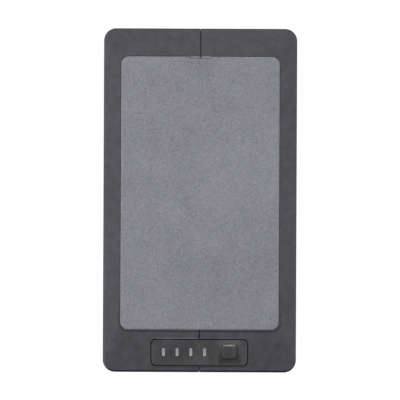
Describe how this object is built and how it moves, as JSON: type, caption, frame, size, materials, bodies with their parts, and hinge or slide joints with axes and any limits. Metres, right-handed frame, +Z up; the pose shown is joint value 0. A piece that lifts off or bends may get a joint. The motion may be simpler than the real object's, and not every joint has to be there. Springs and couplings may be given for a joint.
{
  "type": "wall battery unit",
  "caption": "Slim rectangular wall-hung battery with a sloped dark frame, felt-faced pull-off cover, light-bar pod with a square push button, and a hook-on wall bracket.",
  "frame": {"origin": "on the wall plane, at the middle of the casing's width and height", "axes": "+X to the right seen from the front, +Y into the wall, +Z up along the long side"},
  "size_m": [0.19, 0.0541, 0.338],
  "materials": {
    "bracket_steel": "powder coated, satin",
    "casing_plastic": "fine spark texture",
    "rear_plastic": "fine spark texture",
    "seal_rubber": "matt",
    "bumper_rubber": "matt",
    "screw_steel": "zinc plated",
    "plate_steel": "zinc plated",
    "bezel_plastic": "coarse spark texture",
    "button_plastic": "coarse spark texture",
    "cover_plastic": "plain",
    "felt": "short pressed nap",
    "light_guide": "frosted clear",
    "circuit_board": "green solder mask",
    "led": "clear",
    "socket_plastic": "plain",
    "switch_plastic": "plain",
    "stem_plastic": "plain",
    "chip_plastic": "plain",
    "cell_sleeve": "metal can in a shrink sleeve",
    "holder_plastic": "plain",
    "fuse_plastic": "clear tinted",
    "nickel_strip": "nickel plated",
    "insulator_sheet": "pressed fibre",
    "foam": "closed cell",
    "sensor_epoxy": "epoxy bead",
    "heat_sink_aluminium": "mill finish",
    "shunt_metal": "plain",
    "red_insulation": "silicone",
    "black_insulation": "silicone",
    "blue_insulation": "silicone",
    "grey_insulation": "round jacket",
    "connector_metal": "nickel plated brass",
    "insert_plastic": "plain",
    "contact_gold": "gold plated",
    "vent_plastic": "plain"
  },
  "bodies": {
    "bracket": {"wall_bracket": "bracket_steel"},
    "battery_unit": {"left_shell": "casing_plastic", "right_shell": "casing_plastic", "rear_cover": "rear_plastic", "rear_seal": "seal_rubber", "rear_cover_screws": "screw_steel", "tie_plate": "plate_steel", "tie_plate_screws": "screw_steel", "upper_hanger": "plate_steel", "lower_hanger": "plate_steel", "hanger_screws": "screw_steel", "wall_bumpers": "bumper_rubber", "top_joiner": "plate_steel", "bay_joiner": "plate_steel", "joiner_screws": "screw_steel", "control_bezel": "bezel_plastic", "bezel_seal": "foam", "bezel_screws": "screw_steel", "light_pipe": "light_guide", "control_board": "circuit_board", "led_chips": "led", "control_board_socket": "socket_plastic", "switch_body": "switch_plastic", "control_board_screws": "screw_steel", "cells": "cell_sleeve", "left_cell_holder": "holder_plastic", "right_cell_holder": "holder_plastic", "tie_rods": "screw_steel", "left_busbars": "nickel_strip", "right_busbars": "nickel_strip", "end_insulators": "insulator_sheet", "front_foam_strips": "foam", "rear_foam_sheet": "foam", "pack_screws": "screw_steel", "temperature_sensor": "sensor_epoxy", "bms_board": "circuit_board", "bms_transistors": "chip_plastic", "bms_heat_sink": "heat_sink_aluminium", "bms_shunt": "shunt_metal", "bms_sockets": "socket_plastic", "bms_screws": "screw_steel", "fuse_holder": "holder_plastic", "blade_fuse": "fuse_plastic", "positive_lead": "red_insulation", "negative_lead": "black_insulation", "output_leads": "black_insulation", "balance_leads": "blue_insulation", "control_cable": "grey_insulation", "input_connector": "connector_metal", "output_connector": "connector_metal", "connector_inserts": "insert_plastic", "connector_pins": "contact_gold", "connector_nuts": "connector_metal", "connector_seals": "seal_rubber", "breather_vent": "vent_plastic"},
    "power_button": {"button_cap": "button_plastic"},
    "switch_stem": {"switch_stem": "stem_plastic"},
    "front_cover": {"cover_plate": "cover_plastic", "cover_felt": "felt"}
  },
  "joints": [
    {"name": "unit_lift", "type": "slide", "parent": "bracket", "child": "battery_unit", "axis": [0, 0, 1], "range_m": [0, 0.012]},
    {"name": "cover_pull", "type": "slide", "parent": "battery_unit", "child": "front_cover", "axis": [0, -1, 0], "range_m": [0, 0.04]},
    {"name": "button_press", "type": "slide", "parent": "battery_unit", "child": "power_button", "axis": [0, 1, 0], "range_m": [0, 0.0012]},
    {"name": "stem_press", "type": "slide", "parent": "battery_unit", "child": "switch_stem", "axis": [0, 1, 0], "range_m": [0, 0.0012]}
  ],
  "couplings": [
    {"joint": "stem_press", "follows": "button_press", "ratio": 1}
  ]
}
